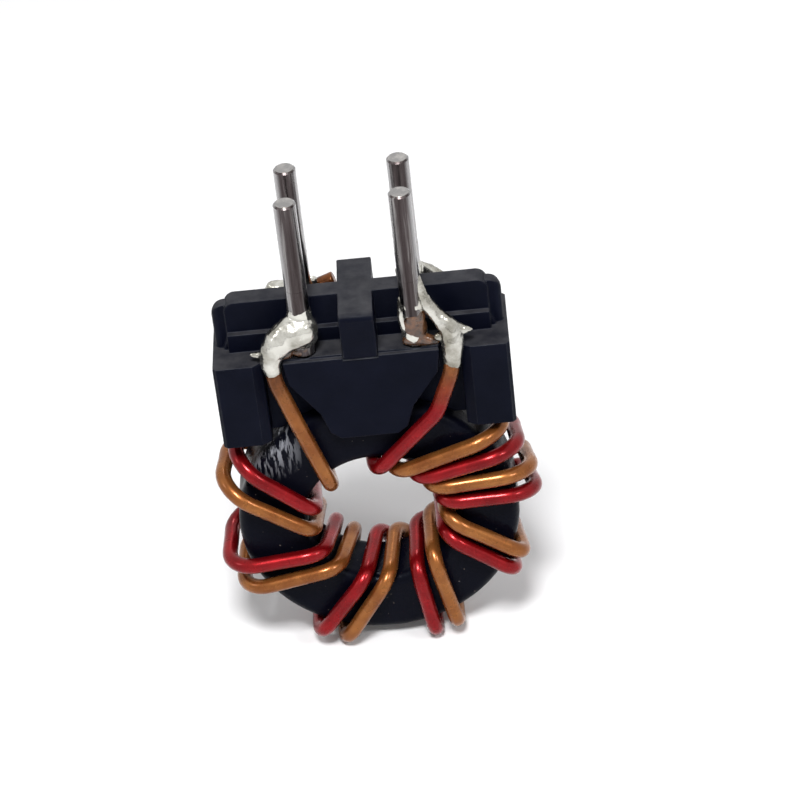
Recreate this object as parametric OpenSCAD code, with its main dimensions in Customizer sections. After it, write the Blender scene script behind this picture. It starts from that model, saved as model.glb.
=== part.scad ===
// Toroidal inductor: a coated ring core with two hand-wound enamelled wires, held by a
// four-pin moulded header. It stands on the ring's edge with the header and pins on top.
// X runs along the header, Y along the ring's axis (front is -Y), Z up, floor at Z = 0.

/* [Core] */
// outside diameter of the coated ring
core_od = 13; // [12:0.1:14]
// bore diameter of the coated ring
core_bore = 6.9; // [6.4:0.1:7.4]
// thickness of the ring along its axis
core_h = 3.2; // [2.8:0.1:3.6]
// radius of the ring's rounded edges
core_round = 0.5; // [0.3:0.05:0.8]
// how far the ring sits off the header's middle
core_x = -0.08; // [-0.2:0.02:0.2]

/* [Windings] */
// diameter of the enamelled wire
wire_d = 0.72; // [0.6:0.02:0.74]
// angle of the red wire's first loop on the rim, clockwise from the ring's top
red_first = 304; // [300:1:308]
// angle of the red wire's last loop on the rim
red_last = 62; // [60:1:64]
// angle by which a red loop enters the bore ahead of its place on the rim
red_lead = 11; // [9:1:13]
// angle at which the red wire first enters the bore
red_entry = 3; // [0:1:8]
// angle of the gold wire's first loop on the rim
gold_first = 292; // [290:1:296]
// angle of the gold wire's last loop on the rim
gold_last = 53; // [50:1:54]
// angle by which a gold loop enters the bore ahead of its place on the rim
gold_lead = 21; // [18:1:22]
// angle at which the gold wire first enters the bore
gold_entry = 321; // [318:1:324]
// angle by which the last red loops crowd together
red_crowd = 42; // [36:1:46]
// angle by which the last gold loops crowd together
gold_crowd = 40; // [34:1:42]
// further lead of a wire's last loop, which leans out past the header
end_lean = 14; // [10:1:16]
// angle by which a wire advances along the bore
bore_advance = 9; // [6:1:12]
// angle by which a loop at the ring's side sinks along the bore
bore_drop = 14; // [10:1:17]
// how far the loops beside the header stand off the rim
top_slack = 0.78; // [0.5:0.02:0.9]
// how far the loops on the left stand off the rim
left_slack = 0.6; // [0:0.01:0.7]
// angle by which the back of a loop on the right hangs lower than its front
back_drop = 11; // [8:1:18]
// how far each pass stands off the front face
front_bow = 0.12; // [0:0.02:0.5]
// how far each pass stands off the back face
rear_bow = 0.15; // [0:0.05:0.4]

/* [Header] */
// length of the header across its ears
header_l = 13.3; // [13:0.1:14]
// width of the header across its ears
header_w = 4.14; // [4:0.02:4.6]
// height of the ears' tops above the ring's top
deck_rise = 3.04; // [2.8:0.02:3.6]
// width of one ear
ear_l = 2.22; // [1.8:0.02:2.3]
// height of one ear
ear_drop = 4.34; // [3.8:0.02:4.4]
// width of the deck's edge beyond the pins
deck_edge = 0.5; // [0.4:0.05:0.6]
// width across the two apron faces
apron_w = 4.38; // [4.2:0.02:4.8]
// height of one apron
apron_drop = 4.27; // [3.6:0.01:4.5]
// height of the barrier walls above the ears
wall_h = 2.46; // [1.8:0.02:3]
// thickness of the long barrier wall
wall_t = 1.02; // [0.8:0.02:1.2]
// thickness of the plinth under the long wall
plinth_t = 1.6; // [1.4:0.02:1.7]
// height of the plinth above the ears
plinth_h = 0.92; // [0.5:0.02:1.2]
// thickness of the short wall between the pin pairs
rib_t = 1.56; // [1.2:0.02:2]
// length of the short wall
rib_l = 4.9; // [4.4:0.02:5.2]

/* [Pins] */
// diameter of one pin
pin_d = 1; // [0.8:0.02:1.1]
// spacing of the pins along X
pin_pitch_x = 5; // [4.8:0.01:5.2]
// spacing of the pins along Y
pin_pitch_y = 2.9; // [2.8:0.01:3]
// height of the pin tips above the ears
pin_rise = 8; // [6:0.1:12]
// depth of each pin in the header, below the ears' tops
pin_seat = 1.3; // [1:0.1:1.4]
// height of each pin's tinned root above the ears' tops
pin_root = 3.6; // [3.5:0.1:4]
// thickness of the solder film on the root
pin_film = 0.01; // [0.005:0.001:0.015]

/* [Solder] */
// height of the solder fillet on each pin, above the deck
solder_h = 2.1; // [1.2:0.05:2.6]
// radius of the solder fillet at the foot of each pin
solder_r = 0.95; // [0.8:0.01:1.1]

/* [Hidden] */
$fn = 64;
fit = 0.02;             // clearance between parts that touch
passes = 8;             // times each wire goes through the ring
bend_steps = 4;         // segments in one bend of a wire
wire_sides = 10;
rear_slack = 0.6;       // share of a left loop's stand-off that is left at the back

// a wire's first and last loop on the rim, its crowding, its lead and its first entry
red_wire = [red_first, red_last, red_crowd, red_lead, red_entry];
gold_wire = [gold_first, gold_last, gold_crowd, gold_lead, gold_entry];

// distances from the ring's axis and middle plane to the wire's centre line
inner_r = core_bore / 2 - wire_d / 2 - fit;
rim_r = core_od / 2 + wire_d / 2 + fit + 0.03;
face_y = core_h / 2 + wire_d / 2 + fit;

deck_above_core = core_od / 2 + deck_rise;
deck_top = 0.2;         // top of the deck, above the ears
deck_l = pin_pitch_x + pin_d + 2 * deck_edge;
slot_x = (deck_l / 2 + header_l / 2 - ear_l) / 2;   // middle of a wire slot

// where the straight end of each wire lies in its solder, from the tip, above the ears' tops
lead_y = face_y + 0.1;
tail_y = pin_pitch_y / 2 + pin_d / 2 + pin_film + wire_d / 2 + fit;   // passes behind a pin
front_left_end = [[-slot_x - 0.12, -lead_y + 0.1, 0.6], [-slot_x + 0.08, -lead_y - 0.1, -0.9]];
front_right_end = [[slot_x + 0.2, -lead_y + 0.04, 0.4], [slot_x - 0.04, -lead_y - 0.12, -1.2]];
rear_left_end = [[-1, tail_y, 1.4], [-slot_x - 0.03, tail_y, 0.3]];
rear_right_end = [[slot_x, lead_y, 0.6], [slot_x, lead_y + 0.1, -1]];

// the wires about the ring's centre, each from its front pin to its rear pin
red_line = centre_line(strand(red_wire,
    [[front_right_end[0], 0], [front_right_end[1], 1], [[3.1, -lead_y - 0.34, -3.15], 1.5]],
    [[[slot_x - 0.05, lead_y + 0.1, -3.2], 1], [rear_right_end[1], 0.5], [rear_right_end[0], 0]]));
gold_line = centre_line(strand(gold_wire,
    [[front_left_end[0], 0], [front_left_end[1], 1], [[-3.2, -lead_y - 0.2, -3.1], 2]],
    [[[-2.4, lead_y + 0.4, -4], 1.2], [[-slot_x, lead_y + 0.15, -1.9], 0.8],
        [rear_left_end[1], 0.5], [rear_left_end[0], 0]]));

// the ring stands on its lowest loop
core_z = wire_d / 2 - min([for (p = concat(red_line, gold_line)) p[2]]);
deck_z = core_z + deck_above_core;

// ---------- geometry helpers ----------

function unit(v) = v / norm(v);

// a point at radius r and angle a about the ring's axis
function spot(r, a, y) = [r * sin(a), y, r * cos(a)];

// Where pass i of wire w rounds the rim, enters the bore and leaves it, as angles clockwise
// from the ring's top. Evenly spaced loops crowd together at the end of the winding. A wire
// starts at a pin, so pass 0 rounds no rim.
function rim_at(w, i) = let (t = (i - 1) / (passes - 2))
    w[0] + (w[1] - w[0]) * t - w[2] * (t - pow(t, 6));
function entry_at(w, i) = i == 0 ? w[4] : rim_at(w, i) - w[3] - (i == passes - 1 ? end_lean : 0);
function exit_at(w, i) = let (a = entry_at(w, i)) a - bore_advance + bore_drop * sin(a);

// How far a loop stands off the rim: on the lower right it hugs it.
function left_off(a) = left_slack * pow(max(0, -sin(a)), 3);
function slack(a) = max(left_off(a), top_slack * min(1, (cos(a) + 0.35) / 0.6));
function front_rim(a) = spot(rim_r + slack(a), a, -face_y - front_bow);

// At the back a loop is pulled tighter, and lower on the right.
function back_slack(a) = rear_slack * left_off(a);
function back_rim(a) =
    spot(rim_r + back_slack(a), a + back_drop * pow(max(0, sin(a)), 3), face_y + rear_bow);

// The largest bend that clears the ring's rounded edge, for a corner that stands off its rim
// or bore by one distance and off its face by another.
function edge_bend(off_rim, off_face) =
    core_round + wire_d / 2 + fit + off_rim + off_face + sqrt(2 * off_rim * off_face);

// header coordinates to coordinates about the ring's centre
function from_deck(p) = p + [-core_x, 0, deck_above_core];

// One wire's corners, each as [point, bend radius].
function strand(w, start, end) = let (last = passes - 1) concat(
    [for (c = start) [from_deck(c[0]), c[1]]],
    [for (i = [0:last]) let (rim = rim_at(w, i),
        out = i == 0 ? 0 : front_bow) each concat(
        i == 0 ? [] : [[front_rim(rim), 0.7 * edge_bend(slack(rim), front_bow)]],
        [[spot(inner_r, entry_at(w, i), -face_y - out), edge_bend(0, out)]],
        [[spot(inner_r, exit_at(w, i), face_y + rear_bow), edge_bend(0, rear_bow)]],
        i == last ? [] : let (next = rim_at(w, i + 1))
            [[back_rim(next), 0.7 * edge_bend(back_slack(next), rear_bow)]])],
    [for (c = end) [from_deck(c[0]), c[1]]]);

// Points on an arc of radius r that rounds the corner b between a and c.
function bend(a, b, c, r) = let (
    u = unit(b - a), v = unit(c - b), turn = acos(u * v),
    s = b - u * r * tan(turn / 2), n = unit(v - u * (u * v)))
    [for (i = [0:bend_steps]) let (t = turn * i / bend_steps)
        s + n * r * (1 - cos(t)) + u * r * sin(t)];

// Points that part a long straight run from a to b.
function run(a, b) = let (n = ceil(norm(b - a) / 1.5)) [for (i = [1:1:n - 1]) a + (b - a) * i / n];

// The centre line of a wire, through rounded corners.
function centre_line(k) = let (
    last = len(k) - 1,
    bends = [for (i = [1:last - 1]) bend(k[i - 1][0], k[i][0], k[i + 1][0], k[i][1])])
    concat([k[0][0]],
        [for (i = [0:last - 2]) each concat(
            run(i == 0 ? k[0][0] : bends[i - 1][bend_steps], bends[i][0]), bends[i])],
        [k[last][0]]);

// A round bar along a line of points, with one radius a point.
module bar(line, radii, sides) {
    n = len(line);
    tangents = [for (i = [0:n - 1]) unit(line[min(i + 1, n - 1)] - line[max(i - 1, 0)])];
    first = unit(cross(tangents[0], [0.3, 1, 0.2]));
    normals = [for (i = 0, v = first; i < n;
        i = i + 1, v = i < n ? unit(v - tangents[i] * (tangents[i] * v)) : v) v];
    rings = [for (i = [0:n - 1], s = [0:sides - 1]) let (a = 360 * s / sides,
        w = cross(tangents[i], normals[i]))
        line[i] + radii[i] * (normals[i] * cos(a) + w * sin(a))];
    sides_faces = [for (i = [0:n - 2], s = [0:sides - 1]) let (
        p = i * sides + s, q = i * sides + (s + 1) % sides)
        each [[p, q + sides, q], [p, p + sides, q + sides]]];
    polyhedron(rings, concat(sides_faces,
        [[for (s = [0:sides - 1]) s]],
        [[for (s = [sides - 1:-1:0]) (n - 1) * sides + s]]));
}

// ---------- core ----------

module core() {
    color([0.11, 0.11, 0.13]) translate([core_x, 0, core_z]) rotate([90, 0, 0])
        rotate_extrude($fn = 128) ring_section();
}

module ring_section() {
    r0 = core_bore / 2;
    w = (core_od - core_bore) / 2;
    translate([r0 + core_round, -core_h / 2]) square([w - 2 * core_round, core_h]);
    translate([r0, -core_h / 2 + core_round]) square([w, core_h - 2 * core_round]);
    for (x = [r0 + core_round, r0 + w - core_round], y = [-1, 1])
        translate([x, y * (core_h / 2 - core_round)]) circle(core_round);
}

// ---------- windings ----------

module winding(line) {
    translate([core_x, 0, core_z]) bar(line, [for (p = line) wire_d / 2], wire_sides);
}

module winding_red() {
    color([0.72, 0.14, 0.15]) winding(red_line);
}

module winding_gold() {
    color([0.8, 0.5, 0.24]) winding(gold_line);
}

// ---------- header ----------

module header() {
    color([0.13, 0.13, 0.15]) translate([0, 0, deck_z]) difference() {
        union() {
            slab();
            aprons();
            for (x = [-1, 1], y = [-1, 1]) scale([x, y, 1]) ear();
            long_wall();
            short_wall();
            for (x = [-1, 1]) scale([x, 1, 1]) end_fin();
        }
        // saddle that sits on the ring
        translate([core_x, 0, core_z - deck_z]) rotate([90, 0, 0])
            cylinder(d = core_od + 2 * fit, h = core_h + 2 * fit, center = true, $fn = 128);
        // pin holes
        for (x = [-1, 1], y = [-1, 1])
            translate([x * pin_pitch_x / 2, y * pin_pitch_y / 2, -pin_seat])
                cylinder(d = pin_d + 2 * fit, h = pin_seat + wall_h);
    }
}

// beam across the middle, under the long wall
module slab() {
    translate([-header_l / 2 + 0.2, -plinth_t / 2, -ear_drop])
        cube([header_l - 0.4, plinth_t, ear_drop]);
    translate([-header_l / 2 + 0.75, -plinth_t / 2, -0.5])
        cube([header_l - 1.5, plinth_t, plinth_h + 0.5]);
}

// deck that carries the pins, and the two tapered aprons that hang over the ring's faces
module aprons() {
    deck_w = apron_w - 0.4;
    side = [[deck_l / 2, 0.08], [deck_l / 2 - 0.14, -1.1], [2.1, -2.85],
        [1.75, -apron_drop + 0.35], [1.3, -apron_drop]];
    translate([-deck_l / 2, -deck_w / 2, -1]) cube([deck_l, deck_w, deck_top + 1]);
    translate([0, apron_w / 2, 0]) rotate([90, 0, 0]) linear_extrude(apron_w) polygon([
        for (x = [1, -1], p = x > 0 ? side : [for (i = [4:-1:0]) side[i]]) [x * p[0], p[1]]]);
}

// corner pillar, at +X +Y
module ear() {
    x1 = header_l / 2;
    x0 = x1 - ear_l;
    y1 = header_w / 2;
    translate([0, 0, -ear_drop]) linear_extrude(ear_drop) polygon([
        [x0, 0], [x1, 0], [x1, y1 - 0.15], [x1 - 0.15, y1], [x0 + 0.45, y1], [x0, y1 - 0.3]]);
}

module long_wall() {
    h = wall_h;
    l = header_l / 2 - 0.75;
    translate([0, wall_t / 2, 0]) rotate([90, 0, 0]) linear_extrude(wall_t) {
        polygon([[-l - 0.25, 0], [-l - 0.15, 0.2], [-l, 0.6], [-l, h - 0.5], [l, h - 0.5],
            [l, 0.6], [l + 0.15, 0.2], [l + 0.25, 0]]);
        translate([-l + 0.5, h - 0.6]) square([2 * l - 1, 0.6]);
        for (x = [-1, 1]) translate([x * (l - 0.5), h - 0.5]) circle(0.5);
    }
}

// short wall between the left and the right pair of pins, with rounded top ends
module short_wall() {
    l = rib_l / 2;
    translate([-rib_t / 2, 0, 0]) rotate([90, 0, 90]) linear_extrude(rib_t) {
        polygon([[-l, wall_h - 0.3], [-l + 0.25, 0], [l - 0.25, 0], [l, wall_h - 0.3]]);
        translate([-l + 0.3, wall_h - 0.4]) square([2 * l - 0.6, 0.4]);
        for (y = [-1, 1]) translate([y * (l - 0.3), wall_h - 0.3]) circle(0.3);
    }
}

// low rounded fin that closes each end of the long wall
module end_fin() {
    x = header_l / 2 - 0.45;
    intersection() {
        union() {
            translate([x - 0.5, -0.3, 0]) cube([0.5, 0.6, wall_h]);
            translate([x, 0, 0]) cylinder(r = 0.3, h = wall_h, $fn = 32);
        }
        translate([0, 1, 0]) rotate([90, 0, 0]) linear_extrude(2) {
            translate([x - 0.6, 0]) square([0.9, wall_h - 0.8]);
            translate([x - 0.6, 0]) square([0.3, wall_h - 0.2]);
            translate([x - 0.3, wall_h - 0.8]) circle(0.6);
        }
    }
}

// ---------- pins ----------

// A straight pin: its free end, then the tinned root in the solder and the header.
module pin(x, y) {
    bevel = 0.08;
    root_d = pin_d + 2 * pin_film;
    color([0.78, 0.77, 0.75]) translate([x * pin_pitch_x / 2, y * pin_pitch_y / 2, deck_z]) {
        translate([0, 0, pin_rise - bevel]) cylinder(d1 = pin_d, d2 = pin_d - 2 * bevel, h = bevel);
        translate([0, 0, pin_root]) cylinder(d = pin_d, h = pin_rise - pin_root - bevel);
        translate([0, 0, bevel - pin_seat]) cylinder(d = root_d, h = pin_seat + pin_root - bevel);
        translate([0, 0, -pin_seat]) cylinder(d1 = root_d - 2 * bevel, d2 = root_d, h = bevel);
    }
}

module pin_front_left() pin(-1, -1);
module pin_front_right() pin(1, -1);
module pin_rear_left() pin(-1, 1);
module pin_rear_right() pin(1, 1);

// ---------- solder ----------

// A joint at the pin (x, y): a fillet round the pin, a neck and a higher web that reach out
// to the knee on the wire, a sleeve down the wire and a small spur.
module solder(x, y, end, knee, knee_r, web, spur) {
    foot = [x * pin_pitch_x / 2, y * pin_pitch_y / 2, deck_top];
    color([0.82, 0.81, 0.78]) translate([0, 0, deck_z]) difference() {
        union() {
            translate(foot) cylinder(r1 = solder_r, r2 = pin_d / 2 + 0.05, h = solder_h, $fn = 32);
            arm(foot + [0, 0, 0.8], knee, solder_r * 0.8, knee_r);
            arm(foot + [0, 0, web], knee, pin_d / 2 - 0.1, knee_r * 0.9);
            translate(knee) sphere(knee_r, $fn = 32);
            arm(knee, knee + unit(end[1] - end[0]), knee_r * 0.95, wire_d / 2 + 0.06);
            arm(knee, spur, knee_r * 0.6, 0.12);
        }
        // pin
        translate([foot[0], foot[1], -1]) cylinder(d = pin_d + 2 * fit, h = pin_rise);
        // header under and behind the joint
        block(-deck_l / 2, deck_l / 2, apron_w / 2, deck_top);
        block(-header_l / 2, header_l / 2, plinth_t / 2, plinth_h);
        block(-header_l / 2, header_l / 2, wall_t / 2, wall_h + 2);
        for (s = [-1, 1]) scale([s, 1, 1]) block(header_l / 2 - ear_l, header_l / 2, header_w / 2, 0);
        // the wire's end
        arm(end[0] - unit(end[1] - end[0]) * 0.02, end[1], wire_d / 2 + fit, wire_d / 2 + fit);
    }
}

// A cone from a to b.
module arm(a, b, r1, r2) {
    d = unit(b - a);
    translate(a) rotate([0, acos(d[2]), atan2(d[1], d[0])])
        cylinder(r1 = r1, r2 = r2, h = norm(b - a), $fn = 32);
}

// Room for a block of the header, from x0 to x1 and half a width to each side.
module block(x0, x1, half, top) {
    translate([x0 - fit, -half - fit, -3]) cube([x1 - x0 + 2 * fit, 2 * (half + fit), 3 + top + fit]);
}

module solder_front_left() solder(-1, -1, front_left_end,
    front_left_end[0] + [0.05, 0, 0], 0.66, 1.6, [-4.75, -1.6, 0.35]);
module solder_front_right() solder(1, -1, front_right_end,
    front_right_end[0] + [0, 0, 0.2], 0.54, 3, [5.05, -1.4, 0.45]);
module solder_rear_left() solder(-1, 1, rear_left_end,
    [-2.65, lead_y + 0.1, 0.88], 0.6, 2.2, [-3.65, lead_y - 0.2, 1.5]);
module solder_rear_right() solder(1, 1, rear_right_end,
    rear_right_end[0] + [0, 0, 0.1], 0.56, 2.4, [4.6, lead_y - 0.3, 0.7]);

header();
core();
winding_red();
winding_gold();
pin_front_left();
pin_front_right();
pin_rear_left();
pin_rear_right();
solder_front_left();
solder_front_right();
solder_rear_left();
solder_rear_right();
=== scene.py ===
"""Toroidal inductor: wires, solder, materials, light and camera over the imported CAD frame."""
import math

import bmesh
import bpy
from mathutils import Matrix, Vector, noise


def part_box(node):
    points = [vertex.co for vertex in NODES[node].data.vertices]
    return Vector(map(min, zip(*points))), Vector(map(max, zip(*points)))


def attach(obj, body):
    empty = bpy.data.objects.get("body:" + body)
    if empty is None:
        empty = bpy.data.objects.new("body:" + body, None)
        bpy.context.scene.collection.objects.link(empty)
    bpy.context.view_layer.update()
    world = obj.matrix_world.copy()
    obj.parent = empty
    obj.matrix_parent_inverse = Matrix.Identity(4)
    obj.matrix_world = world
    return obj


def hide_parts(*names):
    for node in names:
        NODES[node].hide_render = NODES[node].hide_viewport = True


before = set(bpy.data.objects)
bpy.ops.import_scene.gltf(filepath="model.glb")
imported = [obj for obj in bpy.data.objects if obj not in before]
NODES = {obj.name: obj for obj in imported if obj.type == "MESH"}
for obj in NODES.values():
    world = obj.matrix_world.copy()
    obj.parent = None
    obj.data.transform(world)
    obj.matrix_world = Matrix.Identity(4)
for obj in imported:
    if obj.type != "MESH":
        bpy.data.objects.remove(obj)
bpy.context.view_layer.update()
MM = 0.001      # a millimetre in Blender's metres; lengths below are in mm, angles in degrees


# ---------------------------------------------------------------- sizes, as in the CAD source
CORE_OD, CORE_BORE, CORE_H, CORE_ROUND = 13, 6.9, 3.2, 0.5
HEADER_L, EAR_L, DECK_L, DECK_RISE = 13.3, 2.22, 7, 3.04
PIN_D, PIN_FILM, PIN_X, PIN_Y, PIN_RISE = 1, 0.01, 2.5, 1.45, 8
WIRE_D = 0.72
FIT = 0.02                  # clearance between parts that touch
RIM_GAP = 0.03              # a little more of it at the rim

PASSES = 8                  # times each wire goes through the ring
FRONT_BOW, REAR_BOW = 0.12, 0.15    # how far each pass stands off the ring's faces
TOP_SLACK = 0.78            # how far the loops beside the header stand off the rim
FADE_END, FADE_SPAN = -0.35, 0.6    # cosine of the angle where that is gone, fading over a span
LEFT_SLACK = 0.6            # how far the loops on the left stand off the rim
REAR_SLACK = 0.6            # share of a left loop's stand-off that is left at the back
BACK_DROP = 11              # angle by which the back of a right loop hangs below its front
END_LEAN = 14               # further lead of a wire's last loop, which leans out
BORE_ADVANCE = 9            # angle by which a wire advances along the bore
BORE_DROP = 14              # angle by which a loop at the ring's side sinks along the bore
RIM_SHARE = 0.7             # share of the largest bend that a loop takes at the rim

INNER_R = CORE_BORE / 2 - WIRE_D / 2 - FIT
RIM_R = CORE_OD / 2 + WIRE_D / 2 + FIT + RIM_GAP
FACE_Y = CORE_H / 2 + WIRE_D / 2 + FIT
LEAD_Y = FACE_Y + 0.1                   # leads lie just over the passes
TAIL_Y = PIN_Y + PIN_D / 2 + PIN_FILM + WIRE_D / 2 + FIT    # passes behind a pin
SLOT_X = (DECK_L / 2 + HEADER_L / 2 - EAR_L) / 2            # middle of a wire slot

CORE_LOW, CORE_HIGH = (Vector(corner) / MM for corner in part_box("core"))
RING = (CORE_LOW + CORE_HIGH) / 2       # the ring's centre
DECK_ABOVE_CORE = CORE_OD / 2 + DECK_RISE
DECK_Z = RING.z + DECK_ABOVE_CORE       # the ears' tops

# Each wire, with angles clockwise from the ring's top: where its first and last loop round
# the rim, by how much its last loops crowd together, by how much a loop enters the bore ahead
# of its place on the rim, and where it first enters the bore. The corners of its two ends are
# (point, bend radius), from the header's middle at the ears' tops.
RED_WIRE = {
    "first": 304, "last": 62, "crowd": 42, "lead": 11, "entry": 3,
    "start": [((SLOT_X + 0.2, -LEAD_Y + 0.04, 0.4), 0),
              ((SLOT_X - 0.04, -LEAD_Y - 0.12, -1.2), 1),
              ((3.1, -LEAD_Y - 0.34, -3.15), 1.5)],
    "end": [((SLOT_X - 0.05, LEAD_Y + 0.1, -3.2), 1),
            ((SLOT_X, LEAD_Y + 0.1, -1), 0.5),
            ((SLOT_X, LEAD_Y, 0.6), 0)],
}
GOLD_WIRE = {
    "first": 292, "last": 53, "crowd": 40, "lead": 21, "entry": 321,
    "start": [((-SLOT_X - 0.12, -LEAD_Y + 0.1, 0.6), 0),
              ((-SLOT_X + 0.08, -LEAD_Y - 0.1, -0.9), 1),
              ((-3.2, -LEAD_Y - 0.2, -3.1), 2)],
    "end": [((-2.4, LEAD_Y + 0.4, -4), 1.2),
            ((-SLOT_X, LEAD_Y + 0.15, -1.9), 0.8),
            ((-SLOT_X - 0.03, TAIL_Y, 0.3), 0.5),
            ((-1, TAIL_Y, 1.4), 0)],
}


# ---------------------------------------------------------------- the wires' route
def sin(a):
    """The sine of an angle in degrees."""
    return math.sin(math.radians(a))


def cos(a):
    """The cosine of an angle in degrees."""
    return math.cos(math.radians(a))


def spot(r, a, y):
    """A point at radius r and angle a about the ring's axis."""
    return Vector((r * sin(a), y, r * cos(a)))


def rim_at(wire, i):
    """Loop i on the rim: evenly spaced loops that crowd together at the winding's end."""
    t = (i - 1) / (PASSES - 2)
    return wire["first"] + (wire["last"] - wire["first"]) * t - wire["crowd"] * (t - t ** 6)


def entry_at(wire, i):
    """Where pass i goes into the bore."""
    if i == 0:
        return wire["entry"]
    return rim_at(wire, i) - wire["lead"] - (END_LEAN if i == PASSES - 1 else 0)


def exit_at(wire, i):
    """Where pass i comes out of the bore."""
    a = entry_at(wire, i)
    return a - BORE_ADVANCE + BORE_DROP * sin(a)


def left_off(a):
    """How far a loop on the left stands off the rim."""
    return LEFT_SLACK * max(0, -sin(a)) ** 3


def slack(a):
    """How far any loop stands off the rim: on the lower right it hugs it."""
    return max(left_off(a), TOP_SLACK * min(1, (cos(a) - FADE_END) / FADE_SPAN))


def edge_bend(off_rim, off_face):
    """The largest bend that clears the ring's rounded edge."""
    return CORE_ROUND + WIRE_D / 2 + FIT + off_rim + off_face + math.sqrt(2 * off_rim * off_face)


def front_rim(a):
    """The corner of a loop at angle a where it rounds the rim's front edge."""
    off = slack(a)
    return spot(RIM_R + off, a, -FACE_Y - FRONT_BOW), RIM_SHARE * edge_bend(off, FRONT_BOW)


def back_rim(a):
    """The corner of a loop at angle a where it rounds the rim's back edge."""
    off = REAR_SLACK * left_off(a)
    drop = BACK_DROP * max(0, sin(a)) ** 3
    return spot(RIM_R + off, a + drop, FACE_Y + REAR_BOW), RIM_SHARE * edge_bend(off, REAR_BOW)


def from_deck(corner):
    """Corners given from the header's middle, as corners about the ring's centre."""
    return [(Vector(p) + Vector((-RING.x, 0, DECK_ABOVE_CORE)), r) for p, r in corner]


def strand(wire):
    """One wire's corners about the ring's centre, each as (point, bend radius)."""
    corner = from_deck(wire["start"])
    for i in range(PASSES):
        bow = FRONT_BOW if i else 0
        if i:
            corner.append(front_rim(rim_at(wire, i)))
        corner.append((spot(INNER_R, entry_at(wire, i), -FACE_Y - bow), edge_bend(0, bow)))
        corner.append((spot(INNER_R, exit_at(wire, i), FACE_Y + REAR_BOW), edge_bend(0, REAR_BOW)))
        if i < PASSES - 1:
            corner.append(back_rim(rim_at(wire, i + 1)))
    return corner + from_deck(wire["end"])


def bend(a, b, c, r, steps=10):
    """Points on an arc of radius r that rounds the corner b between a and c."""
    u, v = (b - a).normalized(), (c - b).normalized()
    turn = math.acos(max(-1, min(1, u.dot(v))))
    s = b - u * r * math.tan(turn / 2)
    n = (v - u * u.dot(v)).normalized()
    return [s + n * r * (1 - math.cos(turn * i / steps)) + u * r * math.sin(turn * i / steps)
            for i in range(steps + 1)]


def even(line, step=0.12):
    """The same line with its points a step apart."""
    out, left = [line[0]], step
    for a, b in zip(line, line[1:]):
        length, gone = (b - a).length, 0
        while length - gone >= left:
            gone += left
            out.append(a.lerp(b, gone / length))
            left = step
        left -= length - gone
    return out + [line[-1]]


def clear_of_core(p):
    """The nearest place to p where the wire lies on the ring and the floor and not in them."""
    p.z = max(p.z, WIRE_D / 2 - RING.z)
    r, mid_r = math.hypot(p.x, p.z), (CORE_OD + CORE_BORE) / 4
    flat_r = (CORE_OD - CORE_BORE) / 4 - CORE_ROUND
    flat_y = CORE_H / 2 - CORE_ROUND
    off = Vector((r - mid_r - max(-flat_r, min(flat_r, r - mid_r)),
                  p.y - max(-flat_y, min(flat_y, p.y))))
    need = CORE_ROUND + WIRE_D / 2 + FIT
    if not 0 < off.length < need:
        return p
    push = off.normalized() * (need - off.length)
    return Vector((p.x * (r + push.x) / r, p.y + push.y, p.z * (r + push.x) / r))


def faired(line, rounds=90, ease=0.5, spring_back=-0.52):
    """The line with kinks faired out and its size kept, as springy wire lies."""
    for _ in range(rounds):
        for share in (ease, spring_back):
            line = [line[0]] + [line[i].lerp((line[i - 1] + line[i + 1]) / 2, share)
                                for i in range(1, len(line) - 1)] + [line[-1]]
        line = [line[0]] + [clear_of_core(p) for p in line[1:-1]] + [line[-1]]
    return line


def centre_line(corner):
    """A wire's centre line through its rounded corners."""
    line = [corner[0][0]]
    for before, (at, r), after in zip(corner, corner[1:], corner[2:]):
        line += bend(before[0], at, after[0], r)
    return [p + RING for p in faired(even(line + [corner[-1][0]]))]


# ---------------------------------------------------------------- mesh helpers
def new_piece(name, verts, faces, mat, slot):
    """A smooth mesh object from points in mm, riding on the part."""
    mesh = bpy.data.meshes.new(name)
    mesh.from_pydata([Vector(v) * MM for v in verts], [], faces)
    mesh.validate()
    mesh.polygons.foreach_set("use_smooth", [True] * len(mesh.polygons))
    piece = bpy.data.objects.new(name, mesh)
    bpy.context.scene.collection.objects.link(piece)
    mesh.materials.append(mat)
    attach(piece, "root")
    return piece


def tube(line, radius, sides):
    """Points and faces of a round bar along a line, with no twist in it."""
    n = len(line)
    tangent = [(line[min(i + 1, n - 1)] - line[max(i - 1, 0)]).normalized() for i in range(n)]
    across = Vector((0.3, 1, 0.2))      # a direction that no wire starts along
    normal = tangent[0].cross(across).normalized()
    verts, faces = [], []
    for i in range(n):
        normal = (normal - tangent[i] * tangent[i].dot(normal)).normalized()
        side = tangent[i].cross(normal)
        for s in range(sides):
            a = 2 * math.pi * s / sides
            verts.append(line[i] + radius * (normal * math.cos(a) + side * math.sin(a)))
    for i in range(n - 1):
        for s in range(sides):
            p, q = i * sides + s, i * sides + (s + 1) % sides
            faces.append((p, q, q + sides, p + sides))
    faces.append(tuple(reversed(range(sides))))
    faces.append(tuple(range((n - 1) * sides, n * sides)))
    return verts, faces


# ---------------------------------------------------------------- shader helpers
def adder(tree):
    """A function that adds a node to a tree, with its inputs, as values or sockets."""
    def add(kind, inputs=None, **settings):
        node = tree.nodes.new(kind)
        for key, value in settings.items():
            setattr(node, key, value)
        for key, value in (inputs or {}).items():
            if isinstance(value, bpy.types.NodeSocket):
                tree.links.new(value, node.inputs[key])
            else:
                node.inputs[key].default_value = value
        return node
    return add


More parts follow.
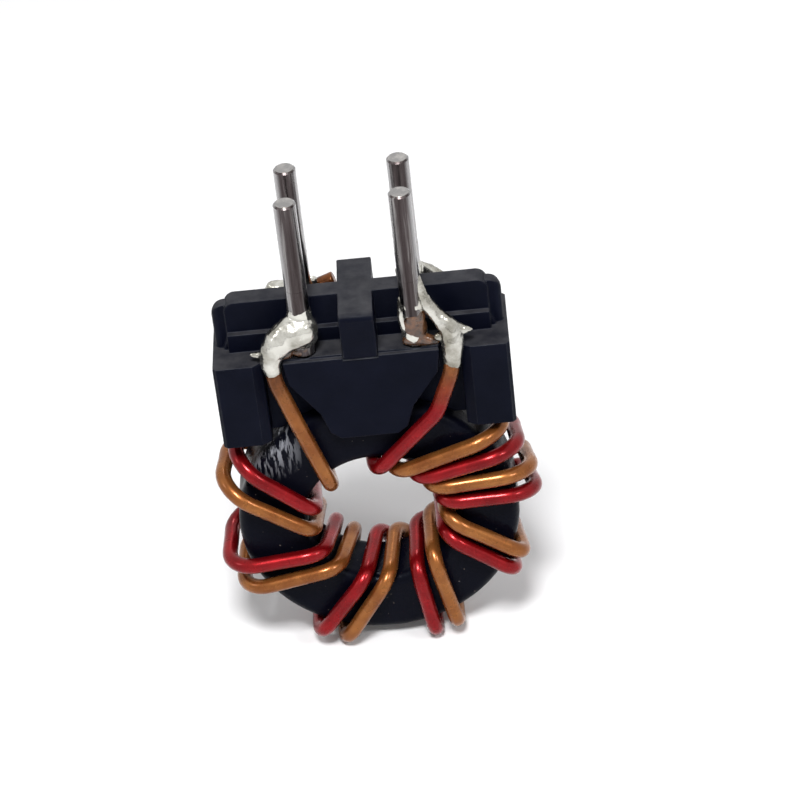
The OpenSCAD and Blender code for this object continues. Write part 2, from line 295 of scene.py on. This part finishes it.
def material(name, constants):
    """A new material with constants on its shader's sockets. Also returns a function that
    adds a node, and one that links an output to a socket of the shader."""
    mat = bpy.data.materials.new(name)
    mat.use_nodes = True
    shader = mat.node_tree.nodes["Principled BSDF"]
    for socket, value in constants.items():
        shader.inputs[socket].default_value = value

    def link(out, socket):
        mat.node_tree.links.new(out, shader.inputs[socket])

    return mat, adder(mat.node_tree), link


def rgba(r, g, b):
    """An opaque colour, linear."""
    return (r, g, b, 1)


def grey(level):
    """A grey of one level, also used for plain numbers in a ramp."""
    return rgba(level, level, level)


def ramp(add, value, *stops):
    """A colour ramp of (position, colour) stops over a value."""
    node = add("ShaderNodeValToRGB", {"Fac": value})
    bar = node.color_ramp
    while len(bar.elements) < len(stops):
        bar.elements.new(0.5)
    for element, (at, colour) in zip(bar.elements, stops):
        element.position, element.color = at, colour
    return node.outputs["Color"]


def math_node(add, operation, *values, clamp=False):
    """The outcome of one sum over numbers or sockets."""
    return add("ShaderNodeMath", dict(enumerate(values)), operation=operation,
               use_clamp=clamp).outputs[0]


def blend(add, factor, a, b):
    """The colour a where factor is 0 and b where it is 1; a and b are colours or sockets."""
    mix = add("ShaderNodeMix", {"Factor": factor, "A": a, "B": b}, data_type="RGBA")
    return mix.outputs["Result"]


def object_place(add):
    """The shaded point on the object, in metres."""
    return add("ShaderNodeTexCoord").outputs["Object"]


def grain(add, scale, detail=3, rough=0.55):
    """Noise over the object, alike in every direction."""
    return add("ShaderNodeTexNoise", {"Vector": object_place(add), "Scale": scale,
                                      "Detail": detail, "Roughness": rough}).outputs["Fac"]


def stretched(add, scale, turn=(0, 0, 0), detail=3):
    """Noise whose grain is longer along some axes; scale is one number for each axis."""
    place = add("ShaderNodeMapping", {"Vector": object_place(add), "Rotation": turn,
                                      "Scale": scale})
    return add("ShaderNodeTexNoise", {"Vector": place.outputs["Vector"], "Scale": 1.0,
                                      "Detail": detail, "Roughness": 0.6}).outputs["Fac"]


def near(add, place, reach):
    """1 at a place on the object, falling to 0 at a distance of reach."""
    away = add("ShaderNodeVectorMath", {0: object_place(add), 1: Vector(place) * MM},
               operation="DISTANCE")
    return math_node(add, "MULTIPLY_ADD", away.outputs["Value"], -1 / (reach * MM), 1.0,
                     clamp=True)


def bump(add, link, height, depth, strength):
    """Relief of a depth in mm, in the shading alone."""
    node = add("ShaderNodeBump", {"Height": height, "Strength": strength,
                                  "Distance": depth * MM})
    link(node.outputs["Normal"], "Normal")


# ---------------------------------------------------------------- materials
COOL_SHEEN = rgba(0.8, 0.87, 1)     # tint of the dull reflections on the black parts
PAINTED_GLINT_SPOT = (-4.9, -CORE_H / 2, DECK_Z - 4.7)   # where a grey highlight is painted on the ring's coating
PAINTED_GLINT_REACH = 2.1
PALE_EDGE_REACH = 0.11                    # how far the paler edges reach from the header's edges: wear and a painted edge highlight
CUT_SKIN = 0.01                     # what counts as a pin's cut top


def enamel(name, deep, bright, burnt):
    """Enamelled copper wire, browned where it was stripped and soldered."""
    mat, add, link = material(name, {
        "Metallic": 0.6, "Specular IOR Level": 0.08,
        "Coat Weight": 0.25, "Coat Roughness": 0.15})
    lacquer = ramp(add, grain(add, 900), (0.3, deep), (0.72, bright))
    half_burnt = rgba(*(0.5 * level for level in burnt[:3]))
    flecks = ramp(add, grain(add, 2600), (0.35, burnt), (0.7, half_burnt))
    browned = add("ShaderNodeAttribute", attribute_name="browned").outputs["Fac"]
    link(blend(add, browned, lacquer, flecks), "Base Color")
    link(ramp(add, grain(add, 1500), (0.3, grey(0.23)), (0.75, grey(0.34))), "Roughness")
    bump(add, link, grain(add, 3500), 0.01, 0.4)
    return mat


def moulded(name):
    """Charcoal moulded plastic: a fine matt grain, painted light on its tops and paler edges of
    wear and painted highlight.
    """
    mat, add, link = material(name, {"Specular IOR Level": 0.055, "Specular Tint": COOL_SHEEN})
    plain = ramp(add, grain(add, 420, 5), (0.35, rgba(0.0018, 0.0024, 0.0065)),
                 (0.75, rgba(0.0036, 0.0044, 0.011)))
    surface = add("ShaderNodeNewGeometry").outputs["True Normal"]
    upward = add("ShaderNodeSeparateXYZ", {"Vector": surface}).outputs["Z"]
    # painted light: faces that point up are made lighter, in a dusty grain
    painted_top_light = math_node(add, "MULTIPLY", ramp(add, upward, (0.5, grey(0)), (0.95, grey(1))),
                      ramp(add, grain(add, 1300, 5), (0.3, grey(0.35)), (0.7, grey(1))))
    # paler edges: wear and a painted edge highlight, masked where the bevel-rounded normal turns
    # from the face's own
    rounded = add("ShaderNodeBevel", {"Radius": PALE_EDGE_REACH * MM}, samples=6).outputs["Normal"]
    flat = add("ShaderNodeVectorMath", {0: rounded, 1: surface},
               operation="DOT_PRODUCT").outputs["Value"]
    wear_and_edge_highlight = math_node(add, "MULTIPLY", ramp(add, flat, (0.8, grey(1)), (0.97, grey(0))),
                     ramp(add, grain(add, 1900, 4), (0.35, grey(0.15)), (0.65, grey(1))))
    # the colour of the painted light on the tops
    with_top_light = blend(add, painted_top_light, plain, rgba(0.043, 0.043, 0.048))
    # the colour of the edges' wear and painted highlight
    link(blend(add, wear_and_edge_highlight, with_top_light, rgba(0.055, 0.058, 0.068)), "Base Color")
    link(ramp(add, grain(add, 700, 4), (0.3, grey(0.34)), (0.7, grey(0.52))), "Roughness")
    bump(add, link, grain(add, 2600, 4), 0.02, 0.35)
    return mat


def epoxy(name):
    """Black epoxy coat on the ferrite: satin, a little uneven, with specks and a painted grey
    highlight in brushed streaks.
    """
    mat, add, link = material(name, {"Specular IOR Level": 0.06, "Specular Tint": COOL_SHEEN})
    specks = ramp(add, grain(add, 5200, 1), (0.76, rgba(0.002, 0.0022, 0.0055)),
                  (0.84, rgba(0.2, 0.17, 0.15)))
    # painted highlight: grey brushed streaks on the ring's rim at the upper left
    glint_streaks = ramp(add, stretched(add, (5200, 2000, 900), (0, math.radians(45), 0)),
                    (0.5, grey(0)), (0.58, grey(1)))
    painted_glint = math_node(add, "MULTIPLY", near(add, PAINTED_GLINT_SPOT, PAINTED_GLINT_REACH), glint_streaks)
    # the grey of the painted highlight
    link(blend(add, painted_glint, specks, rgba(0.36, 0.37, 0.41)), "Base Color")
    link(ramp(add, grain(add, 420, 4), (0.35, grey(0.16)), (0.6, grey(0.5))), "Roughness")
    bump(add, link, grain(add, 1100, 5, 0.6), 0.09, 0.5)
    return mat


def drawn_tin(name):
    """Tinned pin wire: streaked lengthwise, bright along its sides and duller where it is cut."""
    mat, add, link = material(name, {"Metallic": 1.0, "Coat IOR": 3.2, "Coat Roughness": 0.18})
    streaks = ramp(add, stretched(add, (4200, 4200, 160), detail=4),
                   (0.34, rgba(0.035, 0.027, 0.027)), (0.56, rgba(0.075, 0.063, 0.063)),
                   (0.78, rgba(0.36, 0.35, 0.34)))
    height = add("ShaderNodeSeparateXYZ", {"Vector": object_place(add)}).outputs["Z"]
    cut = math_node(add, "GREATER_THAN", height, (DECK_Z + PIN_RISE - CUT_SKIN) * MM)
    cut_face = ramp(add, grain(add, 2400), (0.42, rgba(0.045, 0.036, 0.032)),
                    (0.7, rgba(0.22, 0.2, 0.18)))
    link(blend(add, cut, streaks, cut_face), "Base Color")
    rim = add("ShaderNodeLayerWeight", {"Blend": 0.5}).outputs["Facing"]
    link(ramp(add, rim, (0.26, grey(0)), (0.5, grey(1))), "Coat Weight")
    link(ramp(add, stretched(add, (3000, 3000, 300)), (0.35, grey(0.2)), (0.7, grey(0.42))),
         "Roughness")
    bump(add, link, stretched(add, (5200, 5200, 220)), 0.01, 0.5)
    return mat


def solder_tin(name):
    """Solder: bright, faintly yellow, with duller patches and small dents."""
    mat, add, link = material(name, {"Metallic": 0.95})
    link(ramp(add, grain(add, 900, 4), (0.34, rgba(0.24, 0.225, 0.185)),
              (0.6, rgba(0.62, 0.61, 0.56))), "Base Color")
    link(ramp(add, grain(add, 1500, 3), (0.35, grey(0.12)), (0.7, grey(0.3))), "Roughness")
    bump(add, link, grain(add, 1100, 3), 0.06, 0.5)
    return mat


def rosin(name):
    """Flux residue: brown, glassy and flecked."""
    mat, add, link = material(name, {"Coat Weight": 0.6})
    link(ramp(add, grain(add, 2600, 4), (0.35, rgba(0.016, 0.008, 0.005)),
              (0.7, rgba(0.15, 0.06, 0.022))), "Base Color")
    link(ramp(add, grain(add, 1800), (0.3, grey(0.2)), (0.7, grey(0.45))), "Roughness")
    bump(add, link, grain(add, 3000, 4), 0.05, 0.6)
    return mat


RED = enamel("red_enamel", rgba(0.145, 0.002, 0.004), rgba(0.26, 0.005, 0.008),
             rgba(0.22, 0.075, 0.022))
GOLD = enamel("gold_enamel", rgba(0.18, 0.054, 0.012), rgba(0.31, 0.118, 0.03),
              rgba(0.17, 0.055, 0.016))
PLASTIC = moulded("header_plastic")
EPOXY = epoxy("core_epoxy")
PIN = drawn_tin("pin_tin")
SOLDER = solder_tin("solder_tin")
ROSIN = rosin("flux_residue")


# ---------------------------------------------------------------- wires
WIRE_SIDES = 20
BROWNED_FULL, BROWNED_END = 1.32, 3.52      # lengths from a wire's end


def browning(line):
    """How browned the enamel is at each point: fully by the solder, fading down the lead."""
    length, gone = 0, []
    for i, p in enumerate(line):
        length += (p - line[i - 1]).length if i else 0
        gone.append(length)
    fade = BROWNED_END - BROWNED_FULL
    return [max(0, min(1, (BROWNED_END - min(s, length - s)) / fade)) for s in gone]


def wound(name, wire, mat, node, slot):
    """One enamelled wire along its route, which stands for a CAD winding."""
    line = centre_line(strand(wire))
    piece = new_piece(name, *tube(line, WIRE_D / 2, WIRE_SIDES), mat, slot)
    browned = piece.data.attributes.new("browned", "FLOAT", "POINT")
    browned.data.foreach_set("value", [b for b in browning(line) for _ in range(WIRE_SIDES)])
    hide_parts(node)


wound("wire_red", RED_WIRE, RED, "winding_red", "red_enamel")
wound("wire_gold", GOLD_WIRE, GOLD, "winding_gold", "gold_enamel")


# ---------------------------------------------------------------- solder and flux residue
VOXEL = 0.045               # grid on which the limbs are fused
SETTLE, SETTLE_ROUNDS = 0.6, 20     # how far their joints round off
DENT_SCALE = 2.2            # dents per mm, about
SOLDER_DENTS, FLUX_DENTS = 0.03, 0.05       # how deep they are


def cone(bm, a, ra, b, rb):
    """A closed cone from a to b."""
    axis = b - a
    place = Matrix.Translation((a + b) / 2) @ axis.to_track_quat("Z", "Y").to_matrix().to_4x4()
    bmesh.ops.create_cone(bm, cap_ends=True, segments=24, radius1=ra, radius2=rb,
                          depth=axis.length, matrix=place)


def cast(limbs):
    """A mesh of overlapping balls and cones along the limbs."""
    bm = bmesh.new()
    for limb in limbs:
        spots = [(Vector(p) + Vector((0, 0, DECK_Z)), r) for p, r in limb]
        for p, r in spots:
            bmesh.ops.create_icosphere(bm, subdivisions=3, radius=r,
                                       matrix=Matrix.Translation(p))
        for (a, ra), (b, rb) in zip(spots, spots[1:]):
            cone(bm, a, ra, b, rb)
    mesh = bpy.data.meshes.new("limbs")
    bm.to_mesh(mesh)
    bm.free()
    return mesh


def melted(mesh):
    """The mesh as one skin, with its limbs rounded into each other."""
    body = bpy.data.objects.new("melting", mesh)
    bpy.context.scene.collection.objects.link(body)
    fuse = body.modifiers.new("fuse", "REMESH")
    fuse.mode, fuse.voxel_size = "VOXEL", VOXEL
    settle = body.modifiers.new("settle", "SMOOTH")
    settle.factor, settle.iterations = SETTLE, SETTLE_ROUNDS
    skin = bpy.data.meshes.new_from_object(
        body.evaluated_get(bpy.context.evaluated_depsgraph_get()))
    bpy.data.objects.remove(body)
    bpy.data.meshes.remove(mesh)
    return skin


def flowed(name, limbs, mat, dents):
    """Solder or flux that has flowed. Each limb is a row of (point, radius), from the
    header's middle at the ears' tops; dents is the depth of the dents in the skin."""
    skin = melted(cast(limbs))
    verts = [v.co + v.normal * dents * noise.fractal(v.co * DENT_SCALE, 1.0, 2.0, 3)
             for v in skin.vertices]
    faces = [tuple(face.vertices) for face in skin.polygons]
    bpy.data.meshes.remove(skin)
    return new_piece(name, verts, faces, mat, "solder_metal")


def collar(x, y, top, foot_r, low=0.3):
    """The fillet that climbs a pin, from its foot up to a thin rim."""
    r = PIN_D / 2
    return [((x, y, low), foot_r), ((x, y, (low + top) / 2), (foot_r + r) / 2 - 0.04),
            ((x, y, top), r + 0.02)]


SOLDER_LIMBS = {
    "front_left": [
        collar(-PIN_X, -PIN_Y, 2.55, 0.75, 1.15),
        [((-2.45, -1.65, 1.5), 0.74), ((-2.9, -1.75, 1.45), 0.78), ((-3.45, -1.85, 1.15), 0.7),
         ((-3.88, -1.95, 0.65), 0.58), ((-4.02, -2.02, 0.1), 0.47), ((-3.97, -2.1, -0.25), 0.42)],
        [((-4.2, -1.85, 0.45), 0.24), ((-4.85, -1.7, 0.42), 0.1)],
    ],
    "front_right": [
        collar(PIN_X, -PIN_Y, 2.3, 0.62, 0.6),
        [((2.02, -1.45, 2.5), 0.12), ((2.0, -1.5, 1.7), 0.2), ((2.1, -1.6, 1.1), 0.24)],
        [((2.86, -1.6, 3.7), 0.14), ((3, -1.68, 2.9), 0.24), ((3.22, -1.75, 2.2), 0.3),
         ((3.62, -1.8, 1.6), 0.36), ((4.04, -1.88, 1.0), 0.46), ((4.14, -1.98, 0.4), 0.52),
         ((4.08, -2.1, -0.35), 0.45), ((4.03, -2.14, -0.7), 0.4)],
        [((4.2, -1.8, 0.95), 0.34), ((4.75, -1.75, 0.75), 0.2), ((5.02, -1.72, 0.7), 0.09)],
        [((4, -1.9, 0.7), 0.3), ((3.5, -1.9, 0.6), 0.2)],
    ],
    "rear_left": [
        collar(-PIN_X, PIN_Y, 2.2, 0.8),
        [((-1.95, 2, 1.6), 0.26), ((-2.5, 1.85, 1.4), 0.5), ((-3.2, 1.95, 1.3), 0.48),
         ((-3.75, 2.15, 1.35), 0.36), ((-4, 2.3, 0.7), 0.42), ((-3.99, 2.3, 0), 0.4)],
    ],
    "rear_right": [
        collar(PIN_X, PIN_Y, 2.5, 0.75),
        [((2, 1.75, 1.9), 0.2), ((2.2, 1.8, 1.3), 0.35)],
        [((2.9, 1.7, 2.2), 0.18), ((3.35, 1.95, 1.55), 0.36), ((3.9, 2.05, 0.85), 0.45),
         ((3.97, 2.1, 0.1), 0.41), ((3.97, 2.15, -0.4), 0.38)],
    ],
}
for place, limbs in SOLDER_LIMBS.items():
    piece = flowed("tin_" + place, limbs, SOLDER, SOLDER_DENTS)
    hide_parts("solder_" + place)

FLUX_LIMBS = {
    "front_left": [
        [((-2.45, -1.6, 0.5), 0.38), ((-2.75, -1.75, 0.35), 0.22)],
        [((-3.25, -1.75, 0.42), 0.3), ((-3.7, -1.8, 0.3), 0.2)],
    ],
    "front_right": [
        [((2.15, -1.75, 0.45), 0.26), ((2.75, -1.75, 0.5), 0.34), ((3.4, -1.75, 0.3), 0.2)],
        [((2.52, -1.5, 0.9), 0.56), ((2.52, -1.47, 1.9), 0.5)],
    ],
}
for place, limbs in FLUX_LIMBS.items():
    flowed("flux_" + place, limbs, ROSIN, FLUX_DENTS)


# ---------------------------------------------------------------- carried-over CAD nodes
FINISH = {"header": PLASTIC, "core": EPOXY, "pin": PIN}
for name, node in NODES.items():
    node.data.materials.clear()
    node.data.materials.append(FINISH.get(name.split("_")[0], SOLDER))


def round_edges(node, radius, least_turn=50):
    """Rounds a CAD node's moulded edges. Its faces come apart at every edge and are split
    into triangles, so they are joined and made whole first."""
    weld = node.modifiers.new("joined_faces", "WELD")
    weld.merge_threshold = 0.001 * MM
    dissolve = node.modifiers.new("whole_faces", "DECIMATE")
    dissolve.decimate_type, dissolve.angle_limit = "DISSOLVE", math.radians(1)
    rounding = node.modifiers.new("moulded_edges", "BEVEL")
    rounding.width, rounding.segments = radius * MM, 2
    rounding.use_clamp_overlap, rounding.harden_normals = False, True
    rounding.limit_method, rounding.angle_limit = "ANGLE", math.radians(least_turn)


round_edges(NODES["header"], 0.06)


# ---------------------------------------------------------------- stage, light and camera
SKY = 0.25                  # the world's light on the object; as a background it is 1
FLOOR_GLOW = 0.06           # lifts the floor to white where nothing shades it
FLOOR_HALF = 3000
LAMP_DISTANCE = 300
AIM = Vector((0, 0, 11))    # what the lamps face


def seen_white(add):
    """1 for rays that show the bare background: straight ones and those by gloss or glass."""
    path = add("ShaderNodeLightPath").outputs
    total = path["Is Camera Ray"]
    for kind in ("Is Glossy Ray", "Is Transmission Ray"):
        total = math_node(add, "MAXIMUM", total, path[kind])
    return total


def toward(azimuth, elevation):
    """The unit vector from the object to a viewer or lamp; azimuth 0 is the front."""
    return Vector((sin(azimuth) * cos(elevation), -cos(azimuth) * cos(elevation),
                   sin(elevation)))


def area_light(name, azimuth, elevation, size, power):
    """A square lamp that faces the part; its size is in mm and its power in watts."""
    light = bpy.data.lights.new(name, "AREA")
    light.size, light.energy = size * MM, power
    lamp = bpy.data.objects.new(name, light)
    bpy.context.scene.collection.objects.link(lamp)
    back = toward(azimuth, elevation)
    lamp.location = (AIM + back * LAMP_DISTANCE) * MM
    lamp.rotation_euler = back.to_track_quat("Z", "Y").to_euler()


def look_from(azimuth, elevation, roll, target, distance):
    """The camera's matrix: right, up and back as its columns, then its place."""
    back = toward(azimuth, elevation)
    right = Vector((cos(azimuth), sin(azimuth), 0))
    up = back.cross(right)
    side = right * cos(roll) + up * sin(roll)
    top = -right * sin(roll) + up * cos(roll)
    turn = Matrix((side, top, back)).transposed().to_4x4()
    return Matrix.Translation((Vector(target) + back * distance) * MM) @ turn


def studio_world():
    """An even white world that is dimmer as a light than as a background."""
    world = bpy.data.worlds.new("studio")
    world.use_nodes = True
    add = adder(world.node_tree)
    sky = world.node_tree.nodes["Background"]
    sky.inputs["Color"].default_value = grey(1)
    strength = math_node(add, "MULTIPLY_ADD", seen_white(add), 1 - SKY, SKY)
    world.node_tree.links.new(strength, sky.inputs["Strength"])
    return world


def studio_floor():
    """A plain white floor that keeps the object's shadow."""
    mat, add, link = material("floor_white", {
        "Base Color": rgba(0.86, 0.86, 0.87), "Roughness": 0.8, "Emission Color": grey(1)})
    link(math_node(add, "MULTIPLY", seen_white(add), FLOOR_GLOW), "Emission Strength")
    mesh = bpy.data.meshes.new("floor")
    half = FLOOR_HALF * MM
    mesh.from_pydata([(-half, -half, 0), (half, -half, 0), (half, half, 0), (-half, half, 0)],
                     [], [(0, 1, 2, 3)])
    mesh.materials.append(mat)
    floor = bpy.data.objects.new("floor", mesh)
    bpy.context.scene.collection.objects.link(floor)
    return floor


bpy.context.scene.world = studio_world()
floor = studio_floor()

area_light("key", -3, 60, size=70, power=0.92)
area_light("rear", 172, 50, size=60, power=0.1)
area_light("left", -80, 35, size=60, power=0.06)
area_light("right", 52, 40, size=50, power=0.2)

lens = bpy.data.cameras.new("camera")
lens.sensor_width, lens.lens, lens.clip_start = 36, 146.91, 0.005
camera = bpy.data.objects.new("camera", lens)
bpy.context.scene.collection.objects.link(camera)
camera.matrix_world = look_from(azimuth=2.274, elevation=35.186, roll=-6.712,
                                target=(1.4353, 0, DECK_Z - 3.985), distance=149.03)
bpy.context.scene.camera = camera
bpy.context.scene.view_settings.view_transform = "Standard"
